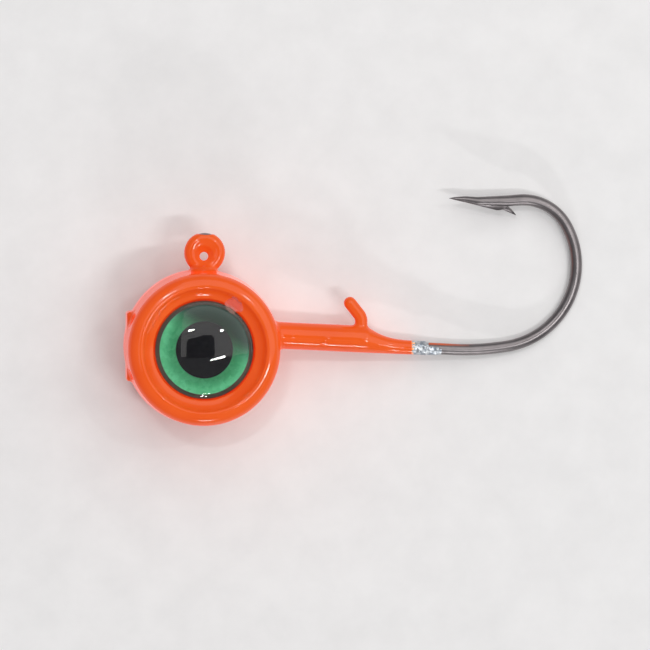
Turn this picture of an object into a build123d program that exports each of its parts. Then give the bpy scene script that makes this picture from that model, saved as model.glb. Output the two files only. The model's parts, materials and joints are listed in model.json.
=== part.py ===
"""Jig head: a lead casting round a jig hook, powder coated, with a domed eye in each face.

Millimetres. The origin is the centre of the line hole. +X runs towards the hook bend, +Y towards
the line eye and the hook point, and +Z is the left face's normal, so the hook lies in the XY plane.
"""

from build123d import *
from math import acos, cos, degrees, radians, sin, sqrt, tan
import os

os.makedirs("parts", exist_ok=True)

# ---------------------------------------------------------------- driving dimensions

# domed eyes
eye_diameter = 10.0
eye_clearance = 0.13  # all round, in the painted socket
adhesive_diameter = 9.5
adhesive_thickness = 0.10
backing_thickness = 0.15
print_thickness = 0.05
iris_margin = 0.65  # bare film round the iris
pupil_diameter = 5.52
lens_edge = 0.75
lens_rise = 1.25
lens_edge_round = 0.30

# powder coat
paint_thickness = 0.10
line_hole_diameter = 0.88
line_hole_cover = 0.03  # left between the hole and the wire below it
line_hole_lean = 12.5  # degrees, from straight under the loop's centre
web_half_thickness = 0.60  # of the paint that closes the wire loop
dish_radius = 1.30
dish_floor = 0.17  # half the web's thickness at the bottom of its dish
dish_y = 0.15

# hook: wire loop, leg and elbow
wire_diameter = 1.16
eye_ring_radius = 1.42  # centreline of the loop
eye_offset_radius = 0.90  # set-over bend that centres the loop on its leg
eye_wrap_angle = 284.0
elbow_radius = 2.0

# hook: shank and bend
shank_slope = 2.8  # degrees, falling towards the bend
bare_shank = 2.5  # from the lead's end to the start of the bend
lead_in_radius = 26.9
lead_in_angle = 12.1
bend_radius = 8.37
bend_angle = 110.2
crown_radius = 5.05
crown_angle = 61.2

# hook: spear, with its centreline's rise over the crown's end and its share of the wire's radius
spear_length = 7.55
spear_stations = ((0.26, -0.11, 0.95), (0.59, -0.125, 0.75), (0.81, 0.075, 0.51))
point_rise = 0.16
point_radius = 0.03
barb_thickness = 0.46

# lead casting: head
head_x = -0.18
eye_stand_off = 1.81  # head's edge to the loop's centre
shank_rise = 1.0  # shank line over the head's centre, at the leg
mouth_width = 1.17  # countersink, socket wall to crest
land_width = 1.45  # crest to the head's edge
head_thickness = 9.0  # crest to crest
head_draft = 3.0  # degrees
shoulder_radius = 1.15
shoulder_fall = 0.22
crest_round = 0.25
mouth_depth = 1.0  # crest down to the socket's mouth
mouth_hollow = 0.16
socket_depth = 0.78  # mouth down to the socket's floor

# lead casting: boss under the line eye and gate stub on the nose
boss_diameter = 2.38
boss_x = -0.04
boss_below_ring = 1.38
boss_round = 0.45
gate_height = 6.9
gate_width = 2.3
gate_lift = 0.17
gate_inset = 0.245  # from the head's edge in to the stub's cut face
gate_depth = 1.6
gate_corner = 0.35

# lead casting: collar, taper, flash and keeper
collar_diameter = 2.56
collar_length = 8.96  # head's edge to the start of the taper
collar_cover = 0.10  # lead under the wire
taper_length = 4.95
taper_power = 2.7
sleeve_wall = 0.05
flash_length = 1.4
flash_wall = 0.09
tongue_length = 1.35
keeper_diameter = 1.1
keeper_inset = 0.62  # from the start of the taper
keeper_stem = 0.93  # collar's top to the finger's bend
keeper_reach = 1.18
keeper_climb = 1.48
keeper_bend_radius = 1.2

# glue dab on the left face
dab_angle = 57.0
dab_inset = 0.68  # from the crest towards the eye
dab_length = 2.4
dab_width = 1.9
dab_slope = 20.0
dab_film = 0.05
dab_depth = 1.15

# ---------------------------------------------------------------- derived sizes and places

eye_radius = eye_diameter / 2
iris_diameter = eye_diameter - 2 * iris_margin
socket_radius = eye_radius + eye_clearance + paint_thickness
crest_radius = socket_radius + mouth_width
head_radius = crest_radius + land_width
crest_z = head_thickness / 2
mouth_z = crest_z - mouth_depth
floor_z = mouth_z - socket_depth
adhesive_z = floor_z + paint_thickness
backing_z = adhesive_z + adhesive_thickness
print_z = backing_z + backing_thickness

# the line hole, at the origin, lies as low in the wire loop as the paint round it allows
wire_radius = wire_diameter / 2
line_hole_radius = line_hole_diameter / 2
line_hole_offset = eye_ring_radius - wire_radius - line_hole_radius - line_hole_cover
eye_ring_x = line_hole_offset * sin(radians(line_hole_lean))
eye_ring_y = line_hole_offset * cos(radians(line_hole_lean))

head_center = Vector(head_x, eye_ring_y - eye_stand_off - head_radius, 0)
head_axis = Axis(head_center, (0, 0, 1))

slope = radians(shank_slope)
shank_direction = Vector(cos(slope), -sin(slope), 0)
shank_normal = Vector(sin(slope), cos(slope), 0)
shank_start = Vector(eye_ring_x, head_center.Y + shank_rise, 0)
collar_end = head_x - eye_ring_x + head_radius + collar_length
sleeve_end = collar_end + taper_length
flash_end = sleeve_end + flash_length
shank_end = flash_end + bare_shank


def shank_point(along, lift=0.0):
    """A point so far along the shank from the leg and so far above its centreline."""
    return shank_start + shank_direction * along + shank_normal * lift


def shank_plane(along, lift=0.0):
    """A plane square to the shank, with its x towards +Z and its y down, away from the keeper."""
    return Plane(origin=shank_point(along, lift), x_dir=(0, 0, 1), z_dir=shank_direction)


def section_plane(side):
    """The head's radial section: x outward from its axis, y towards the given face."""
    return Plane(origin=head_center, x_dir=(1, 0, 0), z_dir=(0, -side, 0))


# ---------------------------------------------------------------- hook

# the set-over arc leaves the leg and meets the loop at a tangent
offset_turn = degrees(acos(eye_offset_radius / (eye_offset_radius + eye_ring_radius)))
leg_top_y = eye_ring_y - (eye_offset_radius + eye_ring_radius) * sin(radians(offset_turn))
leg_top = Vector(eye_ring_x, leg_top_y, 0)
shank_stop = shank_point(shank_end)

with BuildLine() as hook_line:
    set_over = JernArc(leg_top, (0, 1), eye_offset_radius, offset_turn)
    loop = JernArc(set_over @ 1, set_over % 1, eye_ring_radius, -eye_wrap_angle)
    shank = FilletPolyline(leg_top, shank_start, shank_stop, radius=elbow_radius)
    lead_in = JernArc(shank_stop, shank_direction, lead_in_radius, lead_in_angle)
    bend = JernArc(lead_in @ 1, lead_in % 1, bend_radius, bend_angle)
    crown = JernArc(bend @ 1, bend % 1, crown_radius, crown_angle)

crown_end = crown @ 1
barb_outline = [
    crown_end + Vector(x, y, 0)
    for x, y in (
        (-5.40, -0.33),  # where the belly leaves the round spear
        (-2.65, -1.03),  # hump
        (-2.08, -0.98),
        (-0.65, -1.59),  # barb's tip
        (-1.52, -0.65),  # root of the cut
        (-1.60, -0.20),  # the last two are inside the spear
        (-4.30, -0.15),
    )
]

with BuildPart() as hook:
    wire_path = hook_line.wire()
    with BuildSketch(Plane(origin=wire_path @ 0, z_dir=wire_path % 0)):
        Circle(wire_radius)
    sweep(path=wire_path)
    # spear
    with BuildSketch(Plane(origin=crown_end, z_dir=crown % 1)):
        Circle(wire_radius)
    for share, rise, girth in spear_stations:
        with BuildSketch(Plane(origin=crown_end + Vector(-share * spear_length, rise, 0), z_dir=(-1, 0, 0))):
            Circle(girth * wire_radius)
    with BuildSketch(Plane(origin=crown_end + Vector(-spear_length, point_rise, 0), z_dir=(-1, 0, 0))):
        Circle(point_radius)
    loft()
    # barb
    with BuildSketch(Plane.XY.offset(-barb_thickness / 2)):
        with BuildLine():
            Polyline(*barb_outline, close=True)
        make_face()
    extrude(amount=barb_thickness)

# ---------------------------------------------------------------- casting's outer form

sleeve_diameter = wire_diameter + 2 * sleeve_wall
collar_lift = collar_diameter / 2 - wire_radius - collar_cover
keeper_foot = shank_point(collar_end - keeper_inset, collar_lift)
keeper_bend = shank_point(collar_end - keeper_inset, collar_lift + collar_diameter / 2 + keeper_stem)
keeper_tip = keeper_bend + Vector(-keeper_reach, keeper_climb, 0)


def boss_form(skin):
    """The round boss from the head's middle up into the line eye, with a rounded top."""
    top = eye_ring_y - boss_below_ring + skin
    foot = head_center.Y + head_radius - boss_diameter
    with BuildPart() as boss:
        with BuildSketch(Plane(origin=(boss_x, foot, 0), z_dir=(0, 1, 0))):
            Circle(boss_diameter / 2 + skin)
        extrude(amount=top - foot)
        fillet(boss.edges().sort_by(Axis.Y)[-1], boss_round + skin)
    return boss.part


def casting_form(skin):
    """The casting's outer shape, up to where the paint ends, grown all round by a skin."""
    corner_z = crest_z - shoulder_fall
    corner_radius = head_radius - corner_z * tan(radians(head_draft))
    overrun = 1.0
    foot_radius = head_radius + overrun * tan(radians(head_draft))

    with BuildPart() as form:
        # half of the head: its section runs on past the axis and the parting line, and is trimmed there
        with BuildSketch(section_plane(1)) as section:
            with BuildLine():
                Line((-overrun, -overrun), (foot_radius, -overrun))
                Line((foot_radius, -overrun), (corner_radius, corner_z))
                Line((corner_radius, corner_z), (crest_radius, crest_z))
                SagittaArc((crest_radius, crest_z), (socket_radius, mouth_z), mouth_hollow)
                Line((socket_radius, mouth_z), (socket_radius, floor_z))
                Line((socket_radius, floor_z), (-overrun, floor_z))
                Line((-overrun, floor_z), (-overrun, -overrun))
            make_face()
            fillet(section.vertices().sort_by_distance((corner_radius, corner_z))[0], shoulder_radius)
            fillet(section.vertices().sort_by_distance((crest_radius, crest_z))[0], crest_round)
            if skin:
                offset(amount=skin)
            Rectangle(2 * head_radius, head_thickness, align=(Align.MIN, Align.MIN), mode=Mode.INTERSECT)
        revolve(axis=head_axis)
        mirror(about=Plane.XY)

        # gate stub on the nose
        gate_face = head_center + Vector(gate_inset - head_radius - skin, gate_lift, 0)
        with BuildSketch(Plane(origin=gate_face, z_dir=(1, 0, 0))):
            RectangleRounded(gate_width + 2 * skin, gate_height + 2 * skin, gate_corner + skin)
        extrude(amount=gate_depth)

        # collar round the shank, and its taper down to a thin sleeve
        with BuildSketch(shank_plane(head_radius / 2, collar_lift)):
            Circle(collar_diameter / 2 + skin)
        extrude(amount=collar_end - head_radius / 2)
        for share in (0, 0.15, 0.35, 0.65, 1):
            diameter = sleeve_diameter + (collar_diameter - sleeve_diameter) * (1 - share) ** taper_power
            cover = sleeve_wall + (collar_cover - sleeve_wall) * (1 - share)
            lift = diameter / 2 - wire_radius - cover
            with BuildSketch(shank_plane(collar_end + share * taper_length, lift)):
                Circle(diameter / 2 + skin)
        loft()

        # keeper finger, a round bar that stands on the collar and leans towards the head
        with BuildLine() as finger:
            FilletPolyline(keeper_foot, keeper_bend, keeper_tip, radius=keeper_bend_radius)
        with BuildSketch(Plane(origin=keeper_foot, z_dir=finger.line % 0)):
            Circle(keeper_diameter / 2 + skin)
        sweep(path=finger.line)
        with Locations(keeper_tip):
            Sphere(keeper_diameter / 2 + skin)

        # boss under the line eye
        add(boss_form(skin))

    return form.part


# ---------------------------------------------------------------- lead head

with BuildPart() as lead_head:
    add(casting_form(0))
    # ragged flash where the lead ran on along the wire
    with BuildSketch(shank_plane(sleeve_end)):
        Circle(sleeve_diameter / 2)
    with BuildSketch(shank_plane(sleeve_end + flash_length / 2)):
        Circle(wire_radius + flash_wall)
    with BuildSketch(shank_plane(flash_end)):
        Circle(sleeve_diameter / 2)
    loft()
    # its tongue, along the lower front of the wire
    with BuildSketch(shank_plane(flash_end)):
        Circle(sleeve_diameter / 2)
        Rectangle(wire_diameter, wire_diameter, align=(Align.MIN, Align.MIN), mode=Mode.INTERSECT)
    extrude(amount=tongue_length)
    add(hook.part, mode=Mode.SUBTRACT)

# ---------------------------------------------------------------- paint coat

with BuildPart() as paint_coat:
    # skin over the wire loop, and the web of paint that closes it to a small dished hole
    with Locations((eye_ring_x, eye_ring_y, 0)):
        Torus(eye_ring_radius, wire_radius + paint_thickness)
        Cylinder(eye_ring_radius, 2 * web_half_thickness)
    with Locations(*[(0, dish_y, side * (dish_floor + dish_radius)) for side in (1, -1)]):
        Sphere(dish_radius, mode=Mode.SUBTRACT)
    Cylinder(line_hole_radius, 2 * web_half_thickness, mode=Mode.SUBTRACT)
    add(casting_form(paint_thickness))
    add(lead_head.part, mode=Mode.SUBTRACT)
    add(hook.part, mode=Mode.SUBTRACT)

# ---------------------------------------------------------------- domed eyes


def face_disc(side, height, diameter, thickness, hole_diameter=0.0):
    """A flat disc or ring of an eye, standing on the given height over the mid-plane."""
    with BuildPart() as disc:
        with BuildSketch(Plane(origin=head_center + Vector(0, 0, side * height), z_dir=(0, 0, side))):
            Circle(diameter / 2)
            if hole_diameter:
                Circle(hole_diameter / 2, mode=Mode.SUBTRACT)
        extrude(amount=thickness)
    return disc.part


def eye_lens(side):
    """The clear dome, with a shallow pocket under it for the printed iris and pupil."""
    edge_z = print_z + lens_edge
    dome_z = edge_z + lens_rise
    dome_radius = (eye_radius**2 + lens_rise**2) / (2 * lens_rise)
    halfway = (eye_radius / 2, dome_z - dome_radius + sqrt(dome_radius**2 - eye_radius**2 / 4))
    pocket_z = print_z + print_thickness
    with BuildPart() as lens:
        with BuildSketch(section_plane(side)) as section:
            with BuildLine():
                Line((0, pocket_z), (iris_diameter / 2, pocket_z))
                Line((iris_diameter / 2, pocket_z), (iris_diameter / 2, print_z))
                Line((iris_diameter / 2, print_z), (eye_radius, print_z))
                Line((eye_radius, print_z), (eye_radius, edge_z))
                ThreePointArc((eye_radius, edge_z), halfway, (0, dome_z))
                Line((0, dome_z), (0, pocket_z))
            make_face()
            fillet(section.vertices().sort_by_distance((eye_radius, edge_z))[0], lens_edge_round)
        revolve(axis=head_axis)
    return lens.part


pieces = {"hook": hook.part, "lead_head": lead_head.part, "paint_coat": paint_coat.part}
for name, side in (("left_eye", 1), ("right_eye", -1)):
    pieces[f"{name}_adhesive"] = face_disc(side, adhesive_z, adhesive_diameter, adhesive_thickness)
    pieces[f"{name}_backing"] = face_disc(side, backing_z, eye_diameter, backing_thickness)
    pieces[f"{name}_foil"] = face_disc(side, print_z, iris_diameter, print_thickness, pupil_diameter)
    pieces[f"{name}_pupil"] = face_disc(side, print_z, pupil_diameter, print_thickness)
    pieces[f"{name}_lens"] = eye_lens(side)

# ---------------------------------------------------------------- glue dab

# it lies over the left eye's rim and the crest, sloping in towards the eye
dab_bearing = radians(dab_angle)
dab_outward = Vector(cos(dab_bearing), sin(dab_bearing), 0)
dab_tilt = radians(dab_slope)
dab_center = head_center + dab_outward * (crest_radius - dab_inset) + Vector(0, 0, crest_z + dab_film)
dab_normal = Vector(0, 0, cos(dab_tilt)) - dab_outward * sin(dab_tilt)
dab_along = Vector(-sin(dab_bearing), cos(dab_bearing), 0)

with BuildPart() as glue_dab:
    with BuildSketch(Plane(origin=dab_center, x_dir=dab_along, z_dir=dab_normal)):
        Ellipse(dab_length / 2, dab_width / 2)
    extrude(amount=-dab_depth)
    for under in ("lead_head", "paint_coat", "left_eye_lens", "left_eye_backing", "left_eye_adhesive"):
        add(pieces[under], mode=Mode.SUBTRACT)

pieces["glue_dab"] = glue_dab.part

for name, piece in pieces.items():
    piece.label = name
    export_step(piece, f"parts/{name}.step")
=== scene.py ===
# %% [markdown]
# # A painted jig head, piece by piece
#
# A jig head is a fishing hook with a lump of lead cast round its shank. This one is powder coated
# in fluorescent orange, has a domed stick-on eye in a socket on each face, and lies on a white
# table.
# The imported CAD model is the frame: it says where everything is, in metres, and each visible piece
# below is built on it. X runs from the head to the hook's bend, Y up to the line eye, and Z out of
# the left face.

# %% Load the frame
import json
import math

import bmesh
import bpy
from mathutils import Matrix, Vector, noise
from mathutils.bvhtree import BVHTree

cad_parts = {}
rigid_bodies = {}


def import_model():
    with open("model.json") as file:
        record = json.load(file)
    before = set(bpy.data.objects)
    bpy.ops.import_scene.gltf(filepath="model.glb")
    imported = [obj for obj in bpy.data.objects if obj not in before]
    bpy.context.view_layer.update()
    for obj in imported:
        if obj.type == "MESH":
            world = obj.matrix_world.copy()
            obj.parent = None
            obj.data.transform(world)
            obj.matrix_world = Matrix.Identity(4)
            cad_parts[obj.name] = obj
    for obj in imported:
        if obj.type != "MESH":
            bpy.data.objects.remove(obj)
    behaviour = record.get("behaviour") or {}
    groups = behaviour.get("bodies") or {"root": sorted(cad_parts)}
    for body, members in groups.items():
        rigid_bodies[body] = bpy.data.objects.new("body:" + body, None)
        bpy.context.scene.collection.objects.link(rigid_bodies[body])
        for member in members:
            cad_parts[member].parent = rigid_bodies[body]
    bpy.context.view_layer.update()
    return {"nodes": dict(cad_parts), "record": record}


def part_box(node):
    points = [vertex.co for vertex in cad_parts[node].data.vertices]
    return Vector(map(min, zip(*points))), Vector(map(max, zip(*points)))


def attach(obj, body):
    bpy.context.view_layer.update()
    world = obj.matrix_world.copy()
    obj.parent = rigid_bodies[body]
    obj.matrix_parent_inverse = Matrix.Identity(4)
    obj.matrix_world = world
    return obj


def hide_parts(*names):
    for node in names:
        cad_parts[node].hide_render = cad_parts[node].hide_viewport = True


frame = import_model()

MM = 0.001
cad = frame["nodes"]

# %% [markdown]
# Places come from the frame. The lens of each eye is centred on the head, so the middle of its box
# is the head's axis. The mounts in the record give the line hole, the bait collar's axis and the
# hook's point.

# %% Places that the pieces share


def box_size(node):
    """The three sides of a CAD node's box."""
    low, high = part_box(node)
    return Vector(high) - Vector(low)


mounts = {mount["name"]: mount for mount in frame["record"]["mounts"]}
line_hole = Vector(mounts["line_eye"]["pos_m"])
shank_way = Vector(mounts["bait_collar"]["axis"]).normalized()
shank_up = Vector((-shank_way.y, shank_way.x, 0))

# the wire's middle line lies under the collar's
collar_middle = Vector(mounts["bait_collar"]["pos_m"])
WIRE_UNDER_COLLAR = 0.60 * MM
wire_spot = collar_middle - shank_up * WIRE_UNDER_COLLAR
SHANK_AT_ZERO = wire_spot.y - wire_spot.x * shank_way.y / shank_way.x  # its height where X is 0
WIRE_RADIUS = 0.58 * MM

lens_low, lens_high = map(Vector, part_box("left_eye_lens"))
head_axis = (lens_low + lens_high) / 2
head_axis.z = 0
eye_radius = box_size("left_eye_lens").y / 2
print("head's axis, mm:", [round(c / MM, 2) for c in head_axis])
print("eye radius, mm:", round(eye_radius / MM, 2))

# %% [markdown]
# Every material is a small node tree. One helper adds a node with its settings and its links, and
# one function turns the sRGB hex colours that people read into the linear numbers that light needs.
# Two recipes come up again and again: tones that change in patches, and unevenness too fine for the
# mesh.

# %% Node helpers and the colour function


def linear(hex_colour):
    """An sRGB hex colour as linear red, green, blue and alpha."""
    shares = [int(hex_colour[i : i + 2], 16) / 255 for i in (1, 3, 5)]
    return (*[s / 12.92 if s <= 0.04045 else ((s + 0.055) / 1.055) ** 2.4 for s in shares], 1.0)


def fill(tree, node, settings, links):
    """Sets a node's properties, colour stops and inputs, and links inputs from other sockets."""
    for name, value in settings.items():
        if name == "stops":
            for stop, (position, colour) in zip(node.color_ramp.elements, value):
                stop.position, stop.color = position, linear(colour)
        elif isinstance(name, str) and hasattr(node, name):
            setattr(node, name, value)
        else:
            node.inputs[name].default_value = value
    for name, socket in links.items():
        tree.links.new(socket, node.inputs[name])


def add_node(tree, kind, settings=(), links=()):
    """Adds a node with its settings and its links."""
    node = tree.nodes.new(kind)
    fill(tree, node, dict(settings), dict(links))
    return node


def new_material(name):
    """A fresh material with its tree, its shader and the piece's own coordinates."""
    material = bpy.data.materials.new(name)
    material.use_nodes = True
    tree = material.node_tree
    place = add_node(tree, "ShaderNodeTexCoord").outputs["Object"]
    return material, tree, tree.nodes["Principled BSDF"], place


def per_metre(millimetres):
    """A texture scale whose pattern repeats about every so many millimetres."""
    return 1 / (millimetres * MM)


def mottle(tree, place, size, detail, roughness, *stops):
    """Patches of a size in mm, and the tones that they take between two colour stops."""
    noise_settings = {"Scale": per_metre(size), "Detail": detail, "Roughness": roughness}
    patches = add_node(tree, "ShaderNodeTexNoise", noise_settings, {"Vector": place}).outputs["Fac"]
    tones = add_node(tree, "ShaderNodeValToRGB", {"stops": stops}, {"Fac": patches})
    return patches, tones.outputs["Color"]


def unevenness(tree, place, size, detail, roughness, strength, depth):
    """The surface's direction with humps of a size and a depth in mm."""
    noise_settings = {"Scale": per_metre(size), "Detail": detail, "Roughness": roughness}
    humps = add_node(tree, "ShaderNodeTexNoise", noise_settings, {"Vector": place}).outputs["Fac"]
    bump_settings = {"Strength": strength, "Distance": depth * MM}
    return add_node(tree, "ShaderNodeBump", bump_settings, {"Height": humps}).outputs["Normal"]


# %% [markdown]
# ** Powder coat.** Coloured plastic powder is baked until it flows, so it ends up glossy, but with a
# soft unevenness called orange peel, about a millimetre from hump to hump. The pigment is
# fluorescent: it turns green and blue light into more red, so its shadows stay red and bright. A
# steady red emission stands for that. At its cut end by the wire the coat is painted whitish
# yellow, a painted highlight along its edge.

# %% Orange powder coat

powder_coat, tree, shader, place = new_material("fluorescent_powder_coat")
_, orange = mottle(tree, place, 3.0, 2.0, 0.5, (0.3, "#A65716"), (0.7, "#AC5E1C"))
coat_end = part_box("paint_coat")[1][0]
along = add_node(tree, "ShaderNodeSeparateXYZ", {}, {"Vector": place}).outputs["X"]
# painted highlight: a whitish yellow band along the coat's cut end by the wire
cut_end_highlight = add_node(
    tree,
    "ShaderNodeMapRange",
    {"From Min": coat_end - 0.42 * MM, "From Max": coat_end - 0.22 * MM},
    {"Value": along},
)
coat_colour = add_node(
    tree,
    "ShaderNodeMix",
    {"data_type": "RGBA", "B": linear("#F2DFA0")},
    {"Factor": cut_end_highlight.outputs["Result"], "A": orange},
)
peel = unevenness(tree, place, 0.9, 3.0, 0.45, 0.25, 0.03)
glow = {"Emission Color": linear("#FF2812"), "Emission Strength": 0.48}
gloss = {"Roughness": 0.10, "IOR": 1.52, "Specular IOR Level": 0.36}
looks = {"Base Color": coat_colour.outputs["Result"], "Normal": peel}
fill(tree, shader, glow | gloss, looks)
print("made", powder_coat.name)

# %% [markdown]
# **Black nickel.** The hook's steel wire is plated with black nickel: a dark, slightly brown metal,
# softened by the fine grit of its plating. A thin smear of paint ran on along its upper side, past
# the coat's end.

# %% Black nickel wire

black_nickel, tree, shader, place = new_material("black_nickel_plate")
cloud, nickel_tone = mottle(tree, place, 1.6, 4.0, 0.6, (0.3, "#7A7576"), (0.7, "#8E8889"))
sheen = add_node(tree, "ShaderNodeMapRange", {"To Min": 0.28, "To Max": 0.42}, {"Value": cloud})
grit = unevenness(tree, place, 0.12, 2.0, 0.6, 0.25, 0.006)

# the smear is where four masks meet; a height over the wire's middle line is Y less the line's
spot = add_node(tree, "ShaderNodeSeparateXYZ", {}, {"Vector": place})
under_line = add_node(
    tree,
    "ShaderNodeMath",
    {"operation": "MULTIPLY_ADD", 1: -shank_way.y / shank_way.x, 2: -SHANK_AT_ZERO},
    {0: spot.outputs["X"]},
)
over_line = add_node(
    tree,
    "ShaderNodeMath",
    {"operation": "ADD"},
    {0: under_line.outputs["Value"], 1: spot.outputs["Y"]},
).outputs["Value"]
gaps = add_node(
    tree,
    "ShaderNodeTexNoise",
    {"Scale": per_metre(0.8), "Detail": 3.0, "Roughness": 0.6},
    {"Vector": place},
).outputs["Fac"]
smear = None
for source, start, stop, at_start, at_stop in (
    (over_line, 0.34 * MM, 0.46 * MM, 0.0, 1.0),  # on the wire's upper side
    (over_line, 0.9 * MM, 1.0 * MM, 1.0, 0.0),  # but not up on the hook's point
    (gaps, 0.38, 0.46, 0.0, 1.0),  # broken by bare spots
    (spot.outputs["X"], 24.5 * MM, 27.6 * MM, 1.0, 0.0),  # fading out along the wire
):
    limits = {"From Min": start, "From Max": stop, "To Min": at_start, "To Max": at_stop}
    mask = add_node(tree, "ShaderNodeMapRange", limits, {"Value": source}).outputs["Result"]
    if smear is None:
        smear = mask
        continue
    both = add_node(tree, "ShaderNodeMath", {"operation": "MULTIPLY"}, {0: smear, 1: mask})
    smear = both.outputs["Value"]
wire_colour = add_node(
    tree,
    "ShaderNodeMix",
    {"data_type": "RGBA", "B": linear("#D9591E")},
    {"Factor": smear, "A": nickel_tone},
)
bare = add_node(tree, "ShaderNodeMapRange", {"To Min": 1.0, "To Max": 0.0}, {"Value": smear})
fill(
    tree,
    shader,
    {},
    {
        "Base Color": wire_colour.outputs["Result"],
        "Metallic": bare.outputs["Result"],
        "Roughness": sheen.outputs["Result"],
        "Normal": grit,
    },
)
print("made", black_nickel.name)

# %% [markdown]
# **Cast lead.** Bare lead is a soft blue-grey metal, dull where it has oxidised and bright where it
# was just scraped, and its torn flash is pitted.

# %% Cast lead

cast_lead, tree, shader, place = new_material("bare_cast_lead")
patches, lead_tone = mottle(tree, place, 0.5, 5.0, 0.6, (0.38, "#8F99A6"), (0.62, "#DDE1E4"))
oxide = add_node(tree, "ShaderNodeMapRange", {"To Min": 0.28, "To Max": 0.5}, {"Value": patches})
pits = unevenness(tree, place, 0.2, 3.0, 0.6, 0.4, 0.03)
fill(
    tree,
    shader,
    {"Metallic": 1.0},
    {"Base Color": lead_tone, "Roughness": oxide.outputs["Result"], "Normal": pits},
)
print("made", cast_lead.name)

# %% [markdown]
# ** The eye's layers.** A stick-on eye is a sticky disc, a plastic film printed with a black pupil
# and laminated with green foil, and a drop of clear resin that cures into a dome. The resin is a
# real lens here: it bends the view of the foil, as the dome does. The foil's fine holographic grain
# scatters what it reflects, so it is drawn mostly as a bright colour. It is bright at the lower
# left, and its upper right is darkened with painted shade.

# %% Materials of the eye's layers

eye_resin, tree, shader, place = new_material("cured_clear_resin")
swirl = unevenness(tree, place, 2.5, 1.0, 0.4, 0.12, 0.03)
clear = {"Base Color": linear("#F4F8F5"), "Transmission Weight": 1.0}
fill(tree, shader, clear | {"Roughness": 0.01, "IOR": 1.5}, {"Normal": swirl})

# painted shade: the foil's upper right is painted a dark grey-green
FOIL_LEAN = 0.55  # how much the foil's dark side leans to the right
FOIL_SHADE_SPAN = (0.2 * MM, 3.2 * MM)  # where the dark side starts and is full, from the eye's middle
iris_foil, tree, shader, place = new_material("green_holographic_foil")
grain = add_node(
    tree, "ShaderNodeTexVoronoi", {"Scale": per_metre(0.35), "feature": "F1"}, {"Vector": place}
)
foil_tone = add_node(
    tree,
    "ShaderNodeValToRGB",
    {"stops": ((0.1, "#5CE29A"), (0.9, "#74F2B4"))},
    {"Fac": grain.outputs["Color"]},
)
spot = add_node(tree, "ShaderNodeSeparateXYZ", {}, {"Vector": place})
leaning = add_node(
    tree,
    "ShaderNodeMath",
    {"operation": "MULTIPLY_ADD", 1: FOIL_LEAN},
    {0: spot.outputs["X"], 2: spot.outputs["Y"]},
)
foil_middle = head_axis.y + FOIL_LEAN * head_axis.x
foil_shade_mask = add_node(
    tree,
    "ShaderNodeMapRange",
    {
        "interpolation_type": "SMOOTHSTEP",
        "From Min": foil_middle + FOIL_SHADE_SPAN[0],
        "From Max": foil_middle + FOIL_SHADE_SPAN[1],
    },
    {"Value": leaning.outputs["Value"]},
)
# the painted shade's dark grey-green, mixed over the foil's green
foil_colour = add_node(
    tree,
    "ShaderNodeMix",
    {"data_type": "RGBA", "B": linear("#224E40")},
    {"Factor": foil_shade_mask.outputs["Result"], "A": foil_tone.outputs["Color"]},
)
foil_waves = unevenness(tree, place, 1.1, 1.0, 0.4, 0.5, 0.03)
fill(
    tree,
    shader,
    {"Metallic": 0.15, "Roughness": 0.42},
    {"Base Color": foil_colour.outputs["Result"], "Normal": foil_waves},
)

pupil_ink, tree, shader, place = new_material("black_print_ink")
_, ink_tone = mottle(tree, place, 0.4, 3.0, 0.6, (0.0, "#1A1A1E"), (1.0, "#2C2C32"))
fill(tree, shader, {"Roughness": 0.45, "Specular IOR Level": 0.05}, {"Base Color": ink_tone})

eye_film, tree, shader, place = new_material("brown_polyester_film")
_, film_tone = mottle(tree, place, 2.0, 2.0, 0.5, (0.0, "#3A3226"), (1.0, "#5A4C38"))
fill(tree, shader, {"Roughness": 0.4}, {"Base Color": film_tone})

eye_adhesive, tree, shader, place = new_material("white_acrylic_adhesive")
_, foam_tone = mottle(tree, place, 0.15, 2.0, 0.5, (0.0, "#CFC8B8"), (1.0, "#E6E0D2"))
fill(tree, shader, {"Roughness": 0.8}, {"Base Color": foam_tone})
print("made the eye's materials")

# %% [markdown]
# **Superglue** cures clear and glossy, but it wets what is under it unevenly, so it ripples, and a
# little of the paint's colour comes up through it.

# %% Clear glue

clear_glue, tree, shader, place = new_material("clear_superglue")
ripples = unevenness(tree, place, 0.7, 2.0, 0.5, 0.5, 0.05)
clear = {"Base Color": linear("#FFD8C8"), "Transmission Weight": 0.86}
fill(tree, shader, clear | {"Roughness": 0.16, "IOR": 1.48}, {"Normal": ripples})
print("made", clear_glue.name)

# %% [markdown]
# ** Mesh helpers.** A CAD node's mesh is loose triangles, so a copy is joined up before it is
# remeshed. Every finished piece keeps its object at the origin, unturned, with its place in its
# mesh, rides on the one body, and hides the CAD nodes that it stands for.

# %% Mesh helpers


def joined_copy(node):
    """A bmesh of a CAD node with its loose triangles merged."""
    work = bmesh.new()
    work.from_mesh(cad[node].data)
    bmesh.ops.remove_doubles(work, verts=work.verts, dist=0.0001 * MM)
    return work


def put_in_scene(name, data):
    """A new object at the origin, linked to the scene."""
    thing = bpy.data.objects.new(name, data)
    bpy.context.scene.collection.objects.link(thing)
    return thing


def add_object(name, work):
    """A new object from a bmesh."""
    mesh = bpy.data.meshes.new(name)
    work.to_mesh(mesh)
    work.free()
    return put_in_scene(name, mesh)


def work_on(piece):
    """A bmesh of a piece's own mesh."""
    work = bmesh.new()
    work.from_mesh(piece.data)
    return work


def put_back(work, piece):
    """Splits a bmesh's big faces and makes it the piece's mesh again."""
    bmesh.ops.triangulate(work, faces=[f for f in work.faces if len(f.verts) > 4])
    work.to_mesh(piece.data)
    work.free()


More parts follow.
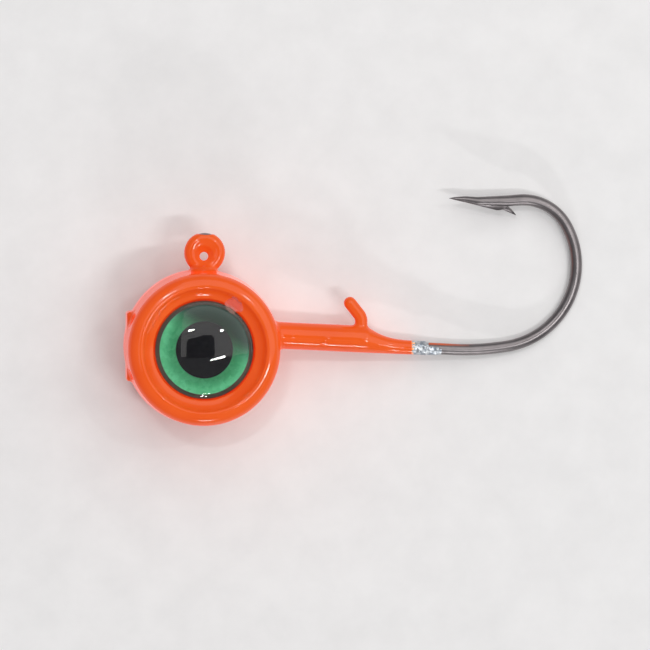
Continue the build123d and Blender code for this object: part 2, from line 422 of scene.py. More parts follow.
def bridge(work, rings):
    """Faces between each ring of points and the next. A ring may be a single point."""
    for lower, upper in zip(rings, rings[1:]):
        steps = max(len(lower), len(upper))
        for j in range(steps):
            k = (j + 1) % steps
            spots = (lower, j), (lower, k), (upper, k), (upper, j)
            corners = dict.fromkeys(ring[i % len(ring)] for ring, i in spots)
            if len(corners) > 2:
                work.faces.new(list(corners))


def round_angles(steps):
    """Angles of evenly spaced points round a circle."""
    return [2 * math.pi * j / steps for j in range(steps)]


def surface_of(work):
    """A search tree of a bmesh's faces, which uses the bmesh up."""
    surface = BVHTree.FromBMesh(work)
    work.free()
    return surface


def baked(piece):
    """The piece with its modifiers made part of its mesh. A curve is swapped for a mesh object."""
    bpy.context.view_layer.update()
    seen = piece.evaluated_get(bpy.context.evaluated_depsgraph_get())
    result = bpy.data.meshes.new_from_object(seen)
    result.name = piece.name
    piece.modifiers.clear()
    if piece.type == "MESH":
        piece.data = result
        return piece
    name = piece.name
    bpy.data.objects.remove(piece)
    return put_in_scene(name, result)


def shade(piece, material):
    """Smooth shading and one material all over."""
    mesh = piece.data
    mesh.materials.clear()
    mesh.materials.append(material)
    mesh.polygons.foreach_set("material_index", [0] * len(mesh.polygons))
    mesh.polygons.foreach_set("use_smooth", [True] * len(mesh.polygons))
    mesh.update()


def finish_cad(node, material):
    """Gives a CAD node's own mesh a material, and leaves the mesh as it is."""
    cad[node].data.materials.clear()
    cad[node].data.materials.append(material)


def finished(piece, material, slot, *nodes):
    """Gives a piece its finish and body, hides the CAD nodes it stands for. Slot is not used."""
    shade(piece, material)
    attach(piece, "root")
    if nodes:
        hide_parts(*nodes)
    piece.data.calc_loop_triangles()
    print(piece.name, len(piece.data.loop_triangles), "triangles")


# %% [markdown]
# **The paint skin.** The real coat flows: it rounds every inside corner, where the collar, the boss
# and the keeper finger grow out of the casting, and it lies a little unevenly. CAD fillets would
# give only even radii. So the coat, the lead and the wire are joined into one solid by a voxel
# remesh and smoothed, and then each point that sank below the coat's CAD surface is brought back
# out to it. What is left is the CAD's shape with soft inside corners.

# %% One solid of coat, lead and wire

VOXEL = 0.15 * MM
ON_THE_LEAD = 0.03 * MM  # a face of the coat this close to the lead or the wire is an inner one

casting_work = bmesh.new()
inside_work = bmesh.new()
for node in ("paint_coat", "lead_head", "hook"):
    part = joined_copy(node)
    part_mesh = bpy.data.meshes.new("part")
    part.to_mesh(part_mesh)
    part.free()
    casting_work.from_mesh(part_mesh)
    if node != "paint_coat":
        inside_work.from_mesh(part_mesh)
    bpy.data.meshes.remove(part_mesh)
inside_surface = surface_of(inside_work)
skin = add_object("paint_skin", casting_work)
remesh = skin.modifiers.new("remesh", "REMESH")
remesh.mode = "VOXEL"
remesh.voxel_size = VOXEL
skin = baked(skin)

# the coat's outer faces are those that stand clear of the lead and the wire
outer_work = joined_copy("paint_coat")
inner_faces = []
for face in outer_work.faces:
    distance = inside_surface.find_nearest(face.calc_center_median())[3]
    if distance < ON_THE_LEAD:
        inner_faces.append(face)
bmesh.ops.delete(outer_work, geom=inner_faces, context="FACES")
coat_surface = surface_of(outer_work)
print("remeshed skin:", len(skin.data.vertices), "points")

# %% [markdown]
# The coat ends on the shank, so what lies beyond is cut off there. The cut is capped, and the wire
# comes out through it later, when the lead and the wire are cut out of the skin.

# %% Cut at the coat's end

CUT_INSET = 0.04 * MM
CUT_TILT = Vector((0, 0.06, -0.10))  # the real coat isn't broken off quite square


def on_wire(x):
    """The middle of the shank's wire at a place along X."""
    along = (x - collar_middle.x) / shank_way.x
    return collar_middle + shank_way * along - shank_up * WIRE_UNDER_COLLAR


work = work_on(skin)
cut = bmesh.ops.bisect_plane(
    work,
    geom=work.verts[:] + work.edges[:] + work.faces[:],
    dist=0.0001 * MM,
    plane_co=on_wire(coat_end - CUT_INSET),
    plane_no=(shank_way + CUT_TILT).normalized(),
    clear_outer=True,
)
rim = [e for e in cut["geom_cut"] if isinstance(e, bmesh.types.BMEdge)]
bmesh.ops.edgeloop_fill(work, edges=rim)
put_back(work, skin)
print("cut skin:", len(skin.data.vertices), "points, rim of", len(rim), "edges")

# %% [markdown]
# Smoothing is held off in three places: at the coat's cut end, at the small line hole and in the
# eye sockets, which keep their crisp corners, because the eyes sit in them with 0.13 mm to spare.
# A second smoothing goes back and forth, with a positive and then a slightly larger negative
# factor. That takes out the facets but keeps the size.

# %% Smooth, then bring sunken points back


def ease(value, low, high):
    """0 below low, 1 above high and a smooth step between."""
    share = min(1.0, max(0.0, (value - low) / (high - low)))
    return share * share * (3 - 2 * share)


def flat_distance(point, centre):
    """Distance from a centre, seen along Z."""
    return math.hypot(point.x - centre.x, point.y - centre.y)


def smoothing_share(point):
    """How much a point of the skin may be smoothed."""
    from_socket = flat_distance(point, head_axis) - eye_radius
    return min(
        ease(from_socket, 0.3 * MM, 0.7 * MM),
        ease(coat_end - point.x, 0.3 * MM, 1.0 * MM),
        ease(flat_distance(point, line_hole), 0.65 * MM, 1.2 * MM),
    )


def smoothed(piece, *factors):
    """The piece after one run of smoothing for each (factor, iterations) pair."""
    for factor, iterations in factors:
        soften = piece.modifiers.new("soften", "SMOOTH")
        soften.factor = factor
        soften.iterations = iterations
        soften.vertex_group = "smooth"
    return baked(piece)


LIFT_REACH = 0.8 * MM
FIRST_SMOOTHING = (0.5, 34)
BACK_AND_FORTH = [(0.5, 1), (-0.52, 1)] * 7

weights = skin.vertex_groups.new(name="smooth")
for vertex in skin.data.vertices:
    weights.add([vertex.index], smoothing_share(vertex.co), "REPLACE")
skin = smoothed(skin, FIRST_SMOOTHING)
for vertex in skin.data.vertices:
    spot, normal, _, distance = coat_surface.find_nearest(vertex.co)
    if (vertex.co - spot).dot(normal) < 0 and distance < LIFT_REACH:
        vertex.co = spot
skin = smoothed(skin, *BACK_AND_FORTH)
print("smoothed skin")

# %% [markdown]
# The head itself is turned, and its bright rim needs a true round edge. So its section is worked
# out here from the CAD's sizes, spun into a fine surface, and the skin's points near it are set
# onto it, with the skin made finer along the crest.

# %% The head's true section

head_edge = head_axis.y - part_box("paint_coat")[0][1]
ARC_STEPS = 8


def rounded_path(corners):
    """Points of a path through (across, up, radius) corners, each corner rounded to its radius."""
    path = []
    for before, here, after in zip(corners, corners[1:], corners[2:]):
        middle, radius = Vector(here[:2]), here[2]
        into = (Vector(before[:2]) - middle).normalized()
        out = (Vector(after[:2]) - middle).normalized()
        half = into.angle(out) / 2
        centre = middle + (into + out).normalized() * radius / math.sin(half)
        start = middle + into * radius / math.tan(half) - centre
        end = middle + out * radius / math.tan(half) - centre
        sweep_angle = start.angle(end)
        for i in range(ARC_STEPS + 1):
            share = i / ARC_STEPS
            from_start = math.sin((1 - share) * sweep_angle) / math.sin(sweep_angle)
            from_end = math.sin(share * sweep_angle) / math.sin(sweep_angle)
            path.append(centre + start * from_start + end * from_end)
    return [Vector(corners[0][:2]), *path, Vector(corners[-1][:2])]


# in mm: (distance from the head's axis, height over the hook's plane)
COAT = 0.10
MOUTH = Vector((5.23, 3.5))  # the edge of the lead's socket, which the coat goes round
SOCKET_FLOOR = 2.82
SINK_MIDDLE, SINK_RADIUS = Vector((4.664, 5.346)), 1.831  # the hollow countersink's arc
CREST = (6.343, 4.612, 0.35)  # corners, each with the radius that rounds it
SHOULDER = (7.722, 4.364, 1.25)


def on_arc(middle, radius, degrees):
    """A point of an arc in the section."""
    angle = math.radians(degrees)
    return middle + Vector((math.cos(angle), math.sin(angle))) * radius


mouth_out = MOUTH.x - COAT
section = [Vector((mouth_out, SOCKET_FLOOR)), Vector((mouth_out, MOUTH.y))]
section += [on_arc(MOUTH, COAT, degrees) for degrees in range(170, 106, -10)]
section += [on_arc(SINK_MIDDLE, SINK_RADIUS, degrees) for degrees in range(-73, -34, 4)]
section += rounded_path([(*section[-1], 0), CREST, SHOULDER, (head_edge / MM, 0, 0)])
print("section's crest, mm:", round(max(p.y for p in section), 3))

# %% Set the head's points onto it

STEPS_ROUND_HEAD = 360
HEAD_REACH = 0.25 * MM
work = bmesh.new()
for side in (1, -1):
    rings = []
    for spot in section:
        ring = []
        for angle in round_angles(STEPS_ROUND_HEAD):
            around = Vector((spot.x * math.cos(angle), spot.x * math.sin(angle), side * spot.y))
            ring.append(work.verts.new(head_axis + around * MM))
        rings.append(ring)
    bridge(work, rings)
head_surface = surface_of(work)


# where each limb's foot starts, out from the head's middle, and half its width and depth, in mm
BOSS_FOOT, COLLAR_FOOT, GATE_FOOT = (6.6, 2.3, 2.3), (6.2, 2.4, 2.4), (6.3, 4.4, 1.9)


def in_foot(out, across, through, foot):
    """True inside the foot of a limb."""
    return out > foot[0] and abs(across) < foot[1] and abs(through) < foot[2]


def near_limb(point):
    """True where the boss, the collar or the gate stub grows out of the head."""
    x, y, z = point / MM
    over_axis = y - head_axis.y / MM
    over_collar = y - collar_middle.y / MM
    at_side = in_foot(x, over_collar, z, COLLAR_FOOT) or in_foot(-x, over_axis, z, GATE_FOOT)
    return at_side or in_foot(over_axis, x, z, BOSS_FOOT)


def set_on_head(work):
    """Sets the skin's points that lie close to the head's turned surface onto it."""
    for vertex in work.verts:
        if flat_distance(vertex.co, head_axis) > eye_radius and not near_limb(vertex.co):
            spot, _, _, distance = head_surface.find_nearest(vertex.co)
            if distance < HEAD_REACH:
                vertex.co = spot


CREST_INNER, CREST_OUTER, CREST_LOW = 6.02 * MM, 6.72 * MM, 4.0 * MM


def on_crest(face):
    """True for a face on the bright rim."""
    middle = face.calc_center_median()
    out = flat_distance(middle, head_axis)
    return CREST_INNER < out < CREST_OUTER and abs(middle.z) > CREST_LOW


work = work_on(skin)
set_on_head(work)
crest_edges = {e for f in work.faces if on_crest(f) for e in f.edges}
bmesh.ops.subdivide_edges(work, edges=list(crest_edges), cuts=1, use_grid_fill=True)
set_on_head(work)
put_back(work, skin)
print("skin on its section:", len(skin.data.vertices), "points")

# %% [markdown]
# The coat then gets its own small faults: a slow waviness, a hundredth of a millimetre or two deep,
# a few nibs on the collar, and a spot on top of the line eye where the paint has worn through to
# the wire. Everywhere else it keeps a good cover over the lead.

# %% Waves, nibs and the worn spot

WAVE_DEPTH, LONG_WAVE, SHORT_WAVE = 0.014 * MM, 1.9 * MM, 0.7 * MM
LEAST_COVER = 0.035 * MM
COVER_REACH = 0.5 * MM
WORN_DEPTH, WORN_GRAIN = 0.15 * MM, 0.35 * MM
ring_top = Vector((line_hole.x + 0.15 * MM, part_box("paint_coat")[1][1], 0))
worn_half = Vector((0.95, 0.5, 0.62)) * MM
nibs = (
    # place, in mm, then radius and height
    (12.25, -8.62, 0.26, 0.09),
    (12.55, -8.30, 0.18, 0.07),
    (12.00, -8.85, 0.17, 0.06),
    (8.90, -8.20, 0.18, 0.05),
    (16.30, -8.45, 0.24, 0.04),
    (15.30, -8.95, 0.20, 0.03),
    (18.10, -9.00, 0.20, 0.03),
)


def worn_depth(point):
    """How deep the coat is worn at a point, as a share of 1 in the middle of the worn spot."""
    from_top = point - ring_top
    share = sum((from_top[i] / worn_half[i]) ** 2 for i in range(3))
    return ease(1 - share, 0, 0.55) * (1 + 0.5 * noise.noise(point / WORN_GRAIN))


def coat_shift(point):
    """How far the coat's surface lies over (or, less than 0, under) its even place."""
    shift = -WAVE_DEPTH * (0.5 + 0.5 * noise.noise(point / LONG_WAVE))
    shift -= 0.25 * WAVE_DEPTH * (0.5 + 0.5 * noise.noise(point / SHORT_WAVE))
    if point.z > 0:
        for x, y, radius, height in nibs:
            away = math.hypot(point.x - x * MM, point.y - y * MM) / (radius * MM)
            if away < 1:
                shift += height * MM * (1 - away * away) ** 2
    return shift


normals = [v.normal.copy() for v in skin.data.vertices]
for vertex, normal in zip(skin.data.vertices, normals):
    vertex.co += normal * coat_shift(vertex.co)
    worn = worn_depth(vertex.co)
    if worn > 0:
        vertex.co -= normal * WORN_DEPTH * worn
        continue
    spot, out, _, distance = inside_surface.find_nearest(vertex.co)
    if distance < COVER_REACH and (vertex.co - spot).dot(out) < LEAST_COVER:
        vertex.co = spot + out * LEAST_COVER
print("coat shifted")

# %% [markdown]
# Last, the lead and the wire are cut out of the skin, which leaves a real coat, about a tenth of a
# millimetre thick, with the wire showing through the worn spot.

# %% Hollow the skin

cutters = []
for node in ("lead_head", "hook"):
    cutter = add_object("cut_" + node, joined_copy(node))
    carve = skin.modifiers.new("carve_" + node, "BOOLEAN")
    carve.operation = "DIFFERENCE"
    carve.solver = "MANIFOLD"
    carve.object = cutter
    cutters.append(cutter)
skin = baked(skin)
for cutter in cutters:
    bpy.data.objects.remove(cutter)
work = work_on(skin)
print("hollow skin: open edges", sum(len(e.link_faces) != 2 for e in work.edges))
put_back(work, skin)
finished(skin, powder_coat, "orange_powder_coat", "paint_coat")

# %% [markdown]
# **The lead.** The casting's own CAD mesh is right as it is, hidden under the coat, so it only gets
# its finish. The flash where the lead ran out along the wire is crumpled foil-thin metal: it is a
# grid wrapped round the shank whose thickness comes from noise. Where there is no lead the grid
# dips under the wire's surface, so its torn outline is cut by the wire itself.

# %% Crumpled flash

finish_cad("lead_head", cast_lead)

flash_foot = box_size("hook").z / 2  # the CAD wire's surface, a hair over the drawn wire's
flash_start = coat_end - 0.30 * MM
lead_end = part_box("lead_head")[1][0]
RING_THICKNESS, TONGUE_THICKNESS = 0.115 * MM, 0.12 * MM
CRUMPLE, FINE_CRUMPLE = 0.55 * MM, 0.22 * MM
TONGUE_BEARING = math.radians(118)
DIP = 0.09 * MM  # how far the grid goes under the wire's surface where there is no lead


def on_shank(x, angle, radius):
    """A point round the shank's wire. Angle 0 is up, and a quarter turn is the left face."""
    around = shank_up * math.cos(angle) + Vector((0, 0, math.sin(angle)))
    return on_wire(x) + around * radius


def flash_cover(x, angle):
    """Thickness of the lead on the wire at a place on the shank."""
    share = (x - flash_start) / (lead_end - flash_start)
    up, out = math.cos(angle), math.sin(angle)
    crumple = noise.noise(Vector((x / CRUMPLE, 1.6 * up, 1.6 * out)))
    fine = noise.noise(Vector((x / FINE_CRUMPLE, 4 * up, 4 * out)))
    ring = RING_THICKNESS * (1 + 0.9 * abs(crumple) - 0.35 * crumple + 0.35 * fine)
    ring_ends = 1 - ease(share + 0.10 * crumple + 0.05 * up, 0.42, 0.62)
    # the tongue runs on along the lower front
    front = math.cos(angle - TONGUE_BEARING)
    tongue = ease(front + 0.25 * fine, 0.45, 0.8) * (1 - ease(share + 0.08 * fine, 0.86, 0.98))
    cover = max(ring_ends * ring, tongue * TONGUE_THICKNESS * (1 + 0.5 * crumple))
    return cover - DIP * (1 - max(ring_ends, tongue))


STEPS_ALONG, STEPS_ROUND = 130, 120
work = bmesh.new()
rings = []
for i in range(STEPS_ALONG + 1):
    x = flash_start + (lead_end - flash_start) * i / STEPS_ALONG
    ring = []
    for angle in round_angles(STEPS_ROUND):
        ring.append(work.verts.new(on_shank(x, angle, flash_foot + flash_cover(x, angle))))
    rings.append(ring)
bridge(work, rings)
work.faces.new(list(reversed(rings[0])))
work.faces.new(rings[-1])
bmesh.ops.recalc_face_normals(work, faces=work.faces)
finished(add_object("lead_flash", work), cast_lead, "cast_lead")

# %% [markdown]
# **The hook.** A hook is one wire that follows a path: round the line eye, down the leg, along the
# shank, round the bend, and out to a ground point. That is a rule, so Geometry Nodes make it: a
# tree sweeps a round section along the path and thins it by the path's own radius. The arcs are the
# maker's bend radii and angles.

# %% The wire's path


def bend_wire(start, heading, radius, turn, steps):
    """Points along an arc of wire from a start point and a heading, and the heading at its end."""
    side = 1 if turn > 0 else -1
    centre = start + Vector((-math.sin(heading), math.cos(heading), 0)) * radius * side
    points = []
    for i in range(1, steps + 1):
        angle = heading - side * math.pi / 2 + math.radians(turn) * i / steps
        points.append(centre + Vector((math.cos(angle), math.sin(angle), 0)) * radius)
    return points, heading + math.radians(turn)


SLOPE = math.atan2(shank_way.y, shank_way.x)
RING_RADIUS, SET_OVER_RADIUS, ELBOW_RADIUS = 1.42 * MM, 0.90 * MM, 2.0 * MM
RING_TURN = -284  # degrees, so that the ring stays a little open
STRAIGHT_SHANK, STRAIGHT_STEPS = 25.395 * MM, 12
# the hook's bend tightens and opens again: radius, degrees and steps of each arc
LEAD_IN, BEND, CROWN = (26.9 * MM, 12.1, 16), (8.37 * MM, 110.2, 60), (5.05 * MM, 61.2, 30)

across_rings = SET_OVER_RADIUS + RING_RADIUS
set_over_turn = math.degrees(math.acos(SET_OVER_RADIUS / across_rings))
ring_middle = Vector((0.080, 0.361, 0)) * MM
leg_top = ring_middle - Vector((0, across_rings * math.sin(math.radians(set_over_turn)), 0))
elbow = Vector((ring_middle.x, head_axis.y + 1.0 * MM, 0))
elbow_turn = math.pi / 2 + SLOPE
leg_foot = elbow + Vector((0, ELBOW_RADIUS * math.tan(elbow_turn / 2), 0))

# from the leg's top up through the set-over and round the line eye
set_over, heading = bend_wire(leg_top, math.pi / 2, SET_OVER_RADIUS, set_over_turn, 10)
loop, _ = bend_wire(set_over[-1], heading, RING_RADIUS, RING_TURN, 60)
# from the leg's foot round the elbow, along the shank and round the bend
elbow_arc, _ = bend_wire(leg_foot, -math.pi / 2, ELBOW_RADIUS, math.degrees(elbow_turn), 14)
shank_stop = elbow + shank_way * STRAIGHT_SHANK
straight = [
    elbow_arc[-1].lerp(shank_stop, i / STRAIGHT_STEPS) for i in range(1, STRAIGHT_STEPS + 1)
]
lead_in, heading = bend_wire(shank_stop, SLOPE, *LEAD_IN)
bend, heading = bend_wire(lead_in[-1], heading, *BEND)
crown, _ = bend_wire(bend[-1], heading, *CROWN)
print("crown ends at", [round(c / MM, 2) for c in crown[-1]], "mm")

# %% [markdown]
# The spear is ground down from the crown's end to the point, first slowly and then quickly. Its
# length is what the record's hook_point mount leaves.

# %% The spear's taper

point_tip = Vector(mounts["hook_point"]["pos_m"])
crown_end = crown[-1]
spear_length = crown_end.x - point_tip.x
SPEAR_STEPS = 40
# share of the spear's length, rise over the crown's end in mm, and share of the wire's radius
spear_rows = (
    (0, 0, 1),
    (0.26, -0.11, 0.95),
    (0.59, -0.125, 0.75),
    (0.81, 0.075, 0.51),
    (0.93, 0.15, 0.25),
    (1, 0.16, 0.03),
)


def spear_at(share):
    """The spear's rise over the crown's end, in mm, and its share of the wire's radius."""
    for (a, rise_a, girth_a), (b, rise_b, girth_b) in zip(spear_rows, spear_rows[1:]):
        if share <= b:
            t = (share - a) / (b - a)
            eased = 0.5 * t + 0.5 * t * t * (3 - 2 * t)
            return rise_a + (rise_b - rise_a) * eased, girth_a + (girth_b - girth_a) * t


spear, girths = [], []
for i in range(1, SPEAR_STEPS + 1):
    share = i / SPEAR_STEPS
    rise, girth = spear_at(share)
    spear.append(crown_end + Vector((-share * spear_length, rise * MM, 0)))
    girths.append(girth)

path_points = [*reversed(loop), *reversed(set_over), leg_top, leg_foot, *elbow_arc]
path_points += straight + lead_in + bend + crown
path_girths = [1.0] * len(path_points) + girths
path_points += spear
print("wire path:", len(path_points), "points")

# %% [markdown]
# The tree takes the path, the wire's radius and the number of sides, and ends by setting the
# material. Its inputs are set by identifier before the object is first evaluated, and the result is
# then kept as a plain mesh.

# %% Sweep the wire with Geometry Nodes

WIRE_SIDES = 40
wire_tree = bpy.data.node_groups.new("swept_wire", "GeometryNodeTree")
sockets = {}
for name, way, kind in (
    ("Path", "INPUT", "NodeSocketGeometry"),
    ("Wire Radius", "INPUT", "NodeSocketFloat"),
    ("Sides", "INPUT", "NodeSocketInt"),
    ("Wire", "OUTPUT", "NodeSocketGeometry"),
):
    sockets[name] = wire_tree.interface.new_socket(name, in_out=way, socket_type=kind)
given = add_node(wire_tree, "NodeGroupInput")
wire_round = add_node(
    wire_tree,
    "GeometryNodeCurvePrimitiveCircle",
    {"mode": "RADIUS"},
    {"Resolution": given.outputs["Sides"], "Radius": given.outputs["Wire Radius"]},
)
path_radius = add_node(wire_tree, "GeometryNodeInputRadius")
sweep = add_node(
    wire_tree,
    "GeometryNodeCurveToMesh",
    {"Fill Caps": True},
    {
        "Curve": given.outputs["Path"],
        "Profile Curve": wire_round.outputs["Curve"],
        "Scale": path_radius.outputs["Radius"],
    },
)
real = add_node(wire_tree, "GeometryNodeRealizeInstances", {}, {"Geometry": sweep.outputs["Mesh"]})
plated = add_node(
    wire_tree,
    "GeometryNodeSetMaterial",
    {"Material": black_nickel},
    {"Geometry": real.outputs["Geometry"]},
)
add_node(wire_tree, "NodeGroupOutput", {}, {"Wire": plated.outputs["Geometry"]})

path_curve = bpy.data.curves.new("hook_wire", "CURVE")
path_curve.dimensions = "3D"
spline = path_curve.splines.new("POLY")
spline.points.add(len(path_points) - 1)
for point, on_path, girth in zip(spline.points, path_points, path_girths):
    point.co = (*on_path, 1)
    point.radius = girth
hook_wire = put_in_scene("hook_wire", path_curve)
sweeper = hook_wire.modifiers.new("sweep", "NODES")
sweeper.node_group = wire_tree
sweeper[sockets["Wire Radius"].identifier] = WIRE_RADIUS
sweeper[sockets["Sides"].identifier] = WIRE_SIDES
hook_wire = baked(hook_wire)
print("swept wire:", len(hook_wire.data.vertices), "points")

# %% [markdown]
# **The barb** is cut into the spear's underside with a chisel and bent out, so it is thickest at
# its root and thins to its tip. It is a small wedge joined to the wire.

# %% The barb

# outline from the crown's end, in mm, with half the thickness there
barb_outline = (
    (-5.60, -0.30, 0.20),
    (-4.10, -0.70, 0.20),
    (-2.75, -1.03, 0.17),
    (-2.45, -1.06, 0.15),
    (-2.08, -0.98, 0.15),
    (-1.35, -1.30, 0.11),
    (-0.65, -1.59, 0.03),
    (-0.95, -1.18, 0.12),
    (-1.52, -0.62, 0.22),
    (-1.60, -0.20, 0.24),
    (-4.30, -0.12, 0.26),
)
work = bmesh.new()
faces = []
for side in (1, -1):
    corners = [crown_end + Vector((x, y, side * half)) * MM for x, y, half in barb_outline]
    faces.append([work.verts.new(corner) for corner in corners])
work.faces.new(faces[0])
work.faces.new(list(reversed(faces[1])))
bridge(work, faces)
bmesh.ops.triangulate(work, faces=work.faces)
bmesh.ops.recalc_face_normals(work, faces=work.faces)
barb = add_object("barb", work)
join = hook_wire.modifiers.new("join", "BOOLEAN")
join.operation = "UNION"
join.solver = "MANIFOLD"
join.object = barb
hook_wire = baked(hook_wire)
bpy.data.objects.remove(barb)
finished(hook_wire, black_nickel, "black_nickel_wire", "hook")
for i, name in enumerate("xyz"):
    ends = [v.co[i] / MM for v in hook_wire.data.vertices]
    cad_ends = [round(corner[i] / MM, 3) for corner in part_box("hook")]
    print("wire in", name, round(min(ends), 3), round(max(ends), 3), "CAD", *cad_ends)

# %% [markdown]
# **The eyes.** Every layer of an eye is turned: its outline is a section spun round the head's
# axis. One function spins a section that is measured from the CAD layer's own box, so the pieces
# keep the CAD's sizes, but with enough steps for a clean round edge and a dome without facets.

# %% Turned layers


ROUND_EYE_STEPS = 144
WETTING = 0.02 * MM
FILM_EDGE, PRINT_EDGE = 0.02 * MM, 0.01 * MM  # how far each disc's sharp edge is rounded
DOME_EDGE, DOME_ROUNDING = 0.75 * MM, 0.30 * MM  # the dome's upright edge, and the round over it
DOME_STEPS = 28


def turned(name, section, side):
    """A closed piece: a section of (radius, height) points spun about the head's axis."""
    work = bmesh.new()
    rings = []
    for radius, height in section:
        angles = round_angles(ROUND_EYE_STEPS) if radius > 0 else [0]
        corners = [(radius * math.cos(a), radius * math.sin(a), side * height) for a in angles]
        rings.append([work.verts.new(head_axis + Vector(corner)) for corner in corners])
    is_ring = len(rings[0]) > 1
    bridge(work, rings + rings[:1] if is_ring else rings)
    bmesh.ops.recalc_face_normals(work, faces=work.faces)
    return add_object(name, work)


def heights(node):
    """The lowest and highest distance of a CAD layer from the mid-plane."""
    low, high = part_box(node)
    return sorted((abs(low[2]), abs(high[2])))


def bevelled_disc(radius, low, high, edge, hole=0):
    """Section of a flat disc with a small bevelled edge, or of a ring."""
    inset = 0.3 * edge
    section = [(hole, low), (radius, low), (radius, high - edge)]
    return section + [(radius - inset, high - inset), (radius - edge, high), (hole, high)]


def cap_radius(radius, rise):
    """Radius of the ball that a round cap of a radius and a rise is cut from."""
    return (radius**2 + rise**2) / (2 * rise)


def dome_section(radius, base, top):
    """Section of the clear dome, from the middle of its flat base round to its top."""
    edge_top = base + DOME_EDGE
    ball = cap_radius(radius, top - edge_top)
    # the resin wets the film, so its base lies a hair inside it and leaves no film of air
    section = [(0, base - WETTING), (radius, base - WETTING), (radius, edge_top - DOME_ROUNDING)]
    for degrees in range(18, 91, 18):
        turn = math.radians(degrees)
        inwards = 0.85 * DOME_ROUNDING * (1 - math.cos(turn))
        section.append((radius - inwards, edge_top - DOME_ROUNDING * (1 - math.sin(turn))))
    for i in range(1, DOME_STEPS + 1):
        out = (radius - DOME_ROUNDING) * (1 - i / DOME_STEPS)
        section.append((out, top - ball + math.sqrt(ball**2 - out**2)))
    return section


for eye, side in (("left_eye", 1), ("right_eye", -1)):
    iris_radius = box_size(eye + "_foil").y / 2
    pupil_radius = box_size(eye + "_pupil").y / 2
    print_heights = heights(eye + "_foil")
    film = bevelled_disc(eye_radius - WETTING, *heights(eye + "_backing"), FILM_EDGE)
    iris = bevelled_disc(iris_radius, *print_heights, PRINT_EDGE, pupil_radius)
    ink = bevelled_disc(pupil_radius, *print_heights, PRINT_EDGE)
    dome = dome_section(eye_radius, *heights(eye + "_lens"))
    for layer, section, material, slot, node in (
        ("_film", film, eye_film, "eye_film", "_backing"),
        ("_iris", iris, iris_foil, "green_iris_foil", "_foil"),
        ("_ink", ink, pupil_ink, "black_pupil_ink", "_pupil"),
        ("_dome", dome, eye_resin, "clear_eye_resin", "_lens"),
    ):
        finished(turned(eye + layer, section, side), material, slot, eye + node)
    finish_cad(eye + "_adhesive", eye_adhesive)

# %% [markdown]
# **The glue.** A smear of clear glue ran over the rim of the left eye. It is a fine grid laid over
# the paint and the dome from above: its foot follows what lies under it, and its thickness comes
# from a few bumps of noise and falls to nothing at a ragged outline.

# %% Glue smear

under_work = bmesh.new()
for name in ("paint_skin", "left_eye_dome"):
    under_work.from_mesh(bpy.data.objects[name].data)
under_surface = surface_of(under_work)

GLUE_BEARING, GLUE_OUT = math.radians(57), 5.35 * MM
glue_out = Vector((math.cos(GLUE_BEARING), math.sin(GLUE_BEARING), 0))
glue_along = Vector((-glue_out.y, glue_out.x, 0))
glue_middle = head_axis + glue_out * GLUE_OUT
GLUE_HALF, GLUE_STEPS = 1.15 * MM, 84  # the grid
GLUE_LENGTH, GLUE_WIDTH = 0.92 * MM, 0.74 * MM  # half the smear, before its outline is torn
GLUE_THICKNESS = 0.10 * MM
BRIDGE_STEPS = 4  # how many steps of the grid the glue can span, each way
STICK = 0.015 * MM


def glue_spot(across, out):
    """A place of the smear in the hook's plane."""
    return glue_middle + glue_along * across + glue_out * out


def surface_height(across, out):
    """Height of the paint or the dome under a place of the smear."""
    above = glue_spot(across, out) + Vector((0, 0, 10 * MM))
    return under_surface.ray_cast(above, Vector((0, 0, -1)))[0].z


def glue_thickness(across, out):
    """Thickness of the glue, negative outside its ragged outline."""
    spot = Vector((across, out, 0)) / MM
    share = (across / GLUE_LENGTH) ** 2 + (out / GLUE_WIDTH) ** 2
    ragged = 0.9 * noise.noise(spot * 1.3) + 0.35 * noise.noise(spot * 3.5)
    lumps = 1 + 0.7 * noise.noise(spot * 2.2 + Vector((7, 3, 1)))
    return GLUE_THICKNESS * min(1 - share + ragged, 0.9) * lumps


steps = range(GLUE_STEPS + 1)
ways = [GLUE_HALF * (2 * i / GLUE_STEPS - 1) for i in steps]
lie = [[surface_height(across, out) for across in ways] for out in ways]
spans = [(max(i - BRIDGE_STEPS, 0), min(i + BRIDGE_STEPS, GLUE_STEPS)) for i in steps]
for _ in range(3):
    # the glue bridges the narrow gap round the dome instead of dropping into it
    lie = [
        [
            max(lie[j][i], (lie[near][i] + lie[far][i]) / 2, (lie[j][left] + lie[j][right]) / 2)
            for i, (left, right) in enumerate(spans)
        ]
        for j, (near, far) in enumerate(spans)
    ]
work = bmesh.new()
tops, feet, thicknesses = [], [], []
for out, row in zip(ways, lie):
    for across, foot in zip(ways, row):
        x, y, _ = glue_spot(across, out)
        thickness = glue_thickness(across, out)
        top = foot + thickness if thickness > 0 else foot - STICK
        tops.append(work.verts.new((x, y, top)))
        feet.append(work.verts.new((x, y, foot - 2 * STICK)))
        thicknesses.append(thickness)
row_length = GLUE_STEPS + 1
for j in range(GLUE_STEPS):
    for i in range(GLUE_STEPS):
        first = j * row_length + i
        corners = (first, first + 1, first + row_length + 1, first + row_length)
        if max(thicknesses[c] for c in corners) > 0:
            work.faces.new([tops[c] for c in corners])
            work.faces.new([feet[c] for c in reversed(corners)])
bmesh.ops.delete(work, geom=[v for v in work.verts if not v.link_faces], context="VERTS")
foot_of = dict(zip(tops, feet))
for edge in [e for e in work.edges if len(e.link_faces) == 1 and e.verts[0] in foot_of]:
    a, b = edge.verts
    work.faces.new((a, b, foot_of[b], foot_of[a]))
bmesh.ops.recalc_face_normals(work, faces=work.faces)
finished(add_object("glue_smear", work), clear_glue, "clear_glue", "glue_dab")

